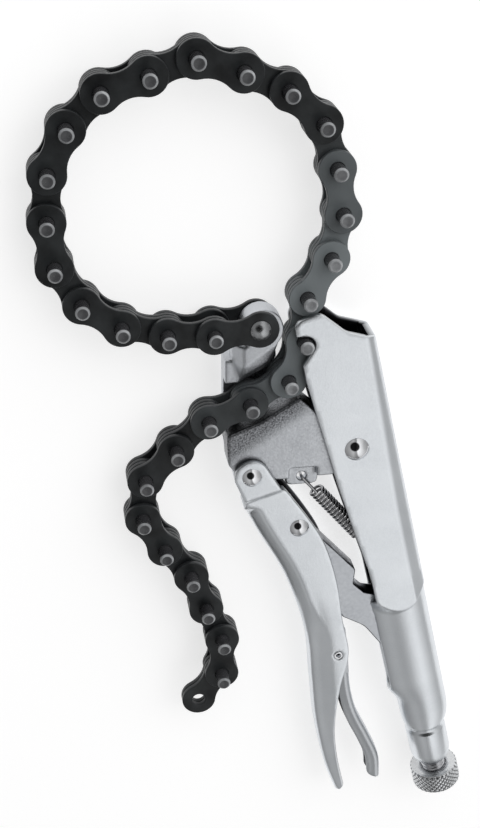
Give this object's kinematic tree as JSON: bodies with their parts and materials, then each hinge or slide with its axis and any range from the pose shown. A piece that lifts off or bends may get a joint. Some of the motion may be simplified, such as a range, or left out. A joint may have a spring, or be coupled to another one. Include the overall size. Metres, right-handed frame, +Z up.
{
  "type": "chain wrench",
  "caption": "Locking-plier chain wrench with a riveted leaf chain, hooked handle, pivoting jaw and lever, toggle link, release lever and knurled adjusting screw.",
  "frame": {"origin": "middle of the plan box, on the surface that the tool lies on", "axes": "+Z up along the rivets and chain pins, +Y along the tool towards the chain loop, +X from the chain tail towards the fixed handle"},
  "size_m": [0.1634, 0.3146, 0.0219],
  "materials": {
    "handle": "satin nickel plate",
    "forged": "plated forging with a fine grain",
    "lever": "satin nickel plate",
    "bright": "polished",
    "link": "satin nickel plate",
    "spring": "drawn spring wire",
    "screw": "plated thread",
    "knob": "bright knurl",
    "chain": "black oxide",
    "pin": "worn black oxide"
  },
  "bodies": {
    "fixed_handle": {"fixed_handle": "handle", "main_rivet": "bright", "return_spring": "spring"},
    "jaw": {"jaw": "forged", "anchor_rivet": "chain"},
    "lever": {"lever": "lever", "lever_rivet": "bright", "toggle_rivet": "bright", "release_pin": "bright"},
    "toggle_link": {"toggle_link": "link"},
    "release_lever": {"release_lever": "lever"},
    "adjusting_screw": {"adjusting_screw": "screw"},
    "adjusting_knob": {"adjusting_knob": "knob"},
    "anchor_link": {"anchor_link": "chain"},
    "link_01": {"outer_plates_01": "chain", "chain_pins_01": "pin"},
    "link_02": {"inner_plates_01": "chain"},
    "link_03": {"outer_plates_02": "chain", "chain_pins_02": "pin"},
    "link_04": {"inner_plates_02": "chain"},
    "link_05": {"outer_plates_03": "chain", "chain_pins_03": "pin"},
    "link_06": {"inner_plates_03": "chain"},
    "link_07": {"outer_plates_04": "chain", "chain_pins_04": "pin"},
    "link_08": {"inner_plates_04": "chain"},
    "link_09": {"outer_plates_05": "chain", "chain_pins_05": "pin"},
    "link_10": {"inner_plates_05": "chain"},
    "link_11": {"outer_plates_06": "chain", "chain_pins_06": "pin"},
    "link_12": {"inner_plates_06": "chain"},
    "link_13": {"outer_plates_07": "chain", "chain_pins_07": "pin"},
    "link_14": {"inner_plates_07": "chain"},
    "link_15": {"outer_plates_08": "chain", "chain_pins_08": "pin"},
    "link_16": {"inner_plates_08": "chain"},
    "link_17": {"outer_plates_09": "chain", "chain_pins_09": "pin"},
    "link_18": {"inner_plates_09": "chain"},
    "link_19": {"outer_plates_10": "chain", "chain_pins_10": "pin"},
    "link_20": {"inner_plates_10": "chain"},
    "link_21": {"outer_plates_11": "chain", "chain_pins_11": "pin"},
    "link_22": {"inner_plates_11": "chain"},
    "link_23": {"outer_plates_12": "chain", "chain_pins_12": "pin"},
    "link_24": {"inner_plates_12": "chain"},
    "link_25": {"outer_plates_13": "chain", "chain_pins_13": "pin"},
    "link_26": {"inner_plates_13": "chain"},
    "link_27": {"outer_plates_14": "chain", "chain_pins_14": "pin"},
    "link_28": {"inner_plates_14": "chain"},
    "link_29": {"outer_plates_15": "chain", "chain_pins_15": "pin"},
    "link_30": {"inner_plates_15": "chain"}
  },
  "joints": [
    {"name": "lever_swing", "type": "hinge", "parent": "jaw", "child": "lever", "pos_m": [-0.0084, 0.00217, 0.01095], "axis": [0, 0, -1], "range_deg": [0, 16]},
    {"name": "jaw_swing", "type": "hinge", "parent": "fixed_handle", "child": "jaw", "pos_m": [0.0296, 0.01087, 0.01095], "axis": [0, 0, 1], "range_deg": [-0.1, 1.56]},
    {"name": "link_swing", "type": "hinge", "parent": "lever", "child": "toggle_link", "pos_m": [0.0096, -0.02163, 0.01095], "axis": [0, 0, 1], "range_deg": [-0.5, 20.3]},
    {"name": "release_swing", "type": "hinge", "parent": "lever", "child": "release_lever", "pos_m": [0.0262, -0.08143, 0.01095], "axis": [0, 0, -1], "range_deg": [0, 8]},
    {"name": "knob_turn", "type": "hinge", "parent": "adjusting_screw", "child": "adjusting_knob", "pos_m": [0.05889, -0.09731, 0.01095], "axis": [0.225, -0.9744, 0], "range_deg": [0, 2900]},
    {"name": "screw_travel", "type": "slide", "parent": "fixed_handle", "child": "adjusting_screw", "axis": [0.225, -0.9744, 0], "range_m": [0, 0.012]},
    {"name": "chain_hinge_00", "type": "hinge", "parent": "jaw", "child": "anchor_link", "pos_m": [-0.0054, 0.05887, 0.01095], "axis": [0, 0, 1], "range_deg": [-4, 4]},
    {"name": "chain_hinge_01", "type": "hinge", "parent": "anchor_link", "child": "link_01", "pos_m": [-0.02118, 0.05721, 0.01095], "axis": [0, 0, 1], "range_deg": [-2.39, 2.39]},
    {"name": "chain_hinge_02", "type": "hinge", "parent": "link_01", "child": "link_02", "pos_m": [-0.03706, 0.05749, 0.01095], "axis": [0, 0, 1], "range_deg": [-0.82, 0.82]},
    {"name": "chain_hinge_03", "type": "hinge", "parent": "link_02", "child": "link_03", "pos_m": [-0.05246, 0.06133, 0.01095], "axis": [0, 0, 1], "range_deg": [-3.09, 3.09]},
    {"name": "chain_hinge_04", "type": "hinge", "parent": "link_03", "child": "link_04", "pos_m": [-0.06546, 0.07044, 0.01095], "axis": [0, 0, 1], "range_deg": [-3.99, 3.99]},
    {"name": "chain_hinge_05", "type": "hinge", "parent": "link_04", "child": "link_05", "pos_m": [-0.07364, 0.08404, 0.01095], "axis": [0, 0, 1], "range_deg": [-3.36, 3.36]},
    {"name": "chain_hinge_06", "type": "hinge", "parent": "link_05", "child": "link_06", "pos_m": [-0.0753, 0.09983, 0.01095], "axis": [0, 0, 1], "range_deg": [-1.5, 1.5]},
    {"name": "chain_hinge_07", "type": "hinge", "parent": "link_06", "child": "link_07", "pos_m": [-0.07419, 0.11567, 0.01095], "axis": [0, 0, 1], "range_deg": [-1.23, 1.23]},
    {"name": "chain_hinge_08", "type": "hinge", "parent": "link_07", "child": "link_08", "pos_m": [-0.06748, 0.13006, 0.01095], "axis": [0, 0, 1], "range_deg": [-3.12, 3.12]},
    {"name": "chain_hinge_09", "type": "hinge", "parent": "link_08", "child": "link_09", "pos_m": [-0.05606, 0.14108, 0.01095], "axis": [0, 0, 1], "range_deg": [-3.89, 3.89]},
    {"name": "chain_hinge_10", "type": "hinge", "parent": "link_09", "child": "link_10", "pos_m": [-0.04097, 0.14599, 0.01095], "axis": [0, 0, 1], "range_deg": [-3.23, 3.23]},
    {"name": "chain_hinge_11", "type": "hinge", "parent": "link_10", "child": "link_11", "pos_m": [-0.02587, 0.15089, 0.01095], "axis": [0, 0, 1], "range_deg": [-1.3, 1.3]},
    {"name": "chain_hinge_12", "type": "hinge", "parent": "link_11", "child": "link_12", "pos_m": [-0.01077, 0.14599, 0.01095], "axis": [0, 0, 1], "range_deg": [-1.48, 1.48]},
    {"name": "chain_hinge_13", "type": "hinge", "parent": "link_12", "child": "link_13", "pos_m": [0.00373, 0.13953, 0.01095], "axis": [0, 0, 1], "range_deg": [-3.47, 3.47]},
    {"name": "chain_hinge_14", "type": "hinge", "parent": "link_13", "child": "link_14", "pos_m": [0.01515, 0.1285, 0.01095], "axis": [0, 0, 1], "range_deg": [-4.11, 4.11]},
    {"name": "chain_hinge_15", "type": "hinge", "parent": "link_14", "child": "link_15", "pos_m": [0.02006, 0.11341, 0.01095], "axis": [0, 0, 1], "range_deg": [-3.14, 3.14]},
    {"name": "chain_hinge_16", "type": "hinge", "parent": "link_15", "child": "link_16", "pos_m": [0.02254, 0.09773, 0.01095], "axis": [0, 0, 1], "range_deg": [-0.85, 0.85]},
    {"name": "chain_hinge_17", "type": "hinge", "parent": "link_16", "child": "link_17", "pos_m": [0.01897, 0.08226, 0.01095], "axis": [0, 0, 1], "range_deg": [-2.18, 2.18]},
    {"name": "chain_hinge_18", "type": "hinge", "parent": "link_17", "child": "link_18", "pos_m": [0.01103, 0.06851, 0.01095], "axis": [0, 0, 1], "range_deg": [-4.05, 4.05]},
    {"name": "chain_hinge_19", "type": "hinge", "parent": "link_18", "child": "link_19", "pos_m": [0.0102, 0.05266, 0.01095], "axis": [0, 0, -1], "range_deg": [-0.4, 0.8]},
    {"name": "chain_hinge_20", "type": "hinge", "parent": "link_19", "child": "link_20", "pos_m": [0.00503, 0.03765, 0.01095], "axis": [0, 0, -1], "range_deg": [-0.5, 1]},
    {"name": "chain_hinge_21", "type": "hinge", "parent": "link_20", "child": "link_21", "pos_m": [-0.00857, 0.02947, 0.01095], "axis": [0, 0, -1], "range_deg": [-0.8, 1.5]},
    {"name": "chain_hinge_22", "type": "hinge", "parent": "link_21", "child": "link_22", "pos_m": [-0.02329, 0.02352, 0.01095], "axis": [0, 0, -1], "range_deg": [-1.2, 6]},
    {"name": "chain_hinge_23", "type": "hinge", "parent": "link_22", "child": "link_23", "pos_m": [-0.03509, 0.0129, 0.01095], "axis": [0, 0, -1], "range_deg": [-1.2, 8]},
    {"name": "chain_hinge_24", "type": "hinge", "parent": "link_23", "child": "link_24", "pos_m": [-0.04632, 0.00168, 0.01095], "axis": [0, 0, -1], "range_deg": [-1.5, 10]},
    {"name": "chain_hinge_25", "type": "hinge", "parent": "link_24", "child": "link_25", "pos_m": [-0.0477, -0.01414, 0.01095], "axis": [0, 0, -1], "range_deg": [-1.5, 12]},
    {"name": "chain_hinge_26", "type": "hinge", "parent": "link_25", "child": "link_26", "pos_m": [-0.04, -0.02802, 0.01095], "axis": [0, 0, -1], "range_deg": [-2, 14]},
    {"name": "chain_hinge_27", "type": "hinge", "parent": "link_26", "child": "link_27", "pos_m": [-0.03045, -0.0407, 0.01095], "axis": [0, 0, -1], "range_deg": [-3, 18]},
    {"name": "chain_hinge_28", "type": "hinge", "parent": "link_27", "child": "link_28", "pos_m": [-0.02502, -0.05562, 0.01095], "axis": [0, 0, -1], "range_deg": [-4, 25]},
    {"name": "chain_hinge_29", "type": "hinge", "parent": "link_28", "child": "link_29", "pos_m": [-0.01907, -0.07034, 0.01095], "axis": [0, 0, -1], "range_deg": [-8, 35]},
    {"name": "chain_hinge_30", "type": "hinge", "parent": "link_29", "child": "link_30", "pos_m": [-0.01935, -0.08621, 0.01095], "axis": [0, 0, -1], "range_deg": [-15, 45]}
  ],
  "couplings": [
    {"joint": "jaw_swing", "follows": "lever_swing", "ratio": 0.09098},
    {"joint": "link_swing", "follows": "lever_swing", "ratio": 1.2376},
    {"joint": "knob_turn", "follows": "screw_travel", "rad_per_m": 4188.8},
    {"joint": "chain_hinge_01", "follows": "chain_hinge_00", "ratio": 0.547},
    {"joint": "chain_hinge_02", "follows": "chain_hinge_00", "ratio": -0.1554},
    {"joint": "chain_hinge_03", "follows": "chain_hinge_00", "ratio": -0.7221},
    {"joint": "chain_hinge_04", "follows": "chain_hinge_00", "ratio": -0.9469},
    {"joint": "chain_hinge_05", "follows": "chain_hinge_00", "ratio": -0.7891},
    {"joint": "chain_hinge_06", "follows": "chain_hinge_00", "ratio": -0.3241},
    {"joint": "chain_hinge_07", "follows": "chain_hinge_00", "ratio": 0.2587},
    {"joint": "chain_hinge_08", "follows": "chain_hinge_00", "ratio": 0.7309},
    {"joint": "chain_hinge_09", "follows": "chain_hinge_00", "ratio": 0.9229},
    {"joint": "chain_hinge_10", "follows": "chain_hinge_00", "ratio": 0.7572},
    {"joint": "chain_hinge_11", "follows": "chain_hinge_00", "ratio": 0.2753},
    {"joint": "chain_hinge_12", "follows": "chain_hinge_00", "ratio": -0.3211},
    {"joint": "chain_hinge_13", "follows": "chain_hinge_00", "ratio": -0.8166},
    {"joint": "chain_hinge_14", "follows": "chain_hinge_00", "ratio": -0.9767},
    {"joint": "chain_hinge_15", "follows": "chain_hinge_00", "ratio": -0.7339},
    {"joint": "chain_hinge_16", "follows": "chain_hinge_00", "ratio": -0.162},
    {"joint": "chain_hinge_17", "follows": "chain_hinge_00", "ratio": 0.4947},
    {"joint": "chain_hinge_18", "follows": "chain_hinge_00", "ratio": 0.9613}
  ]
}
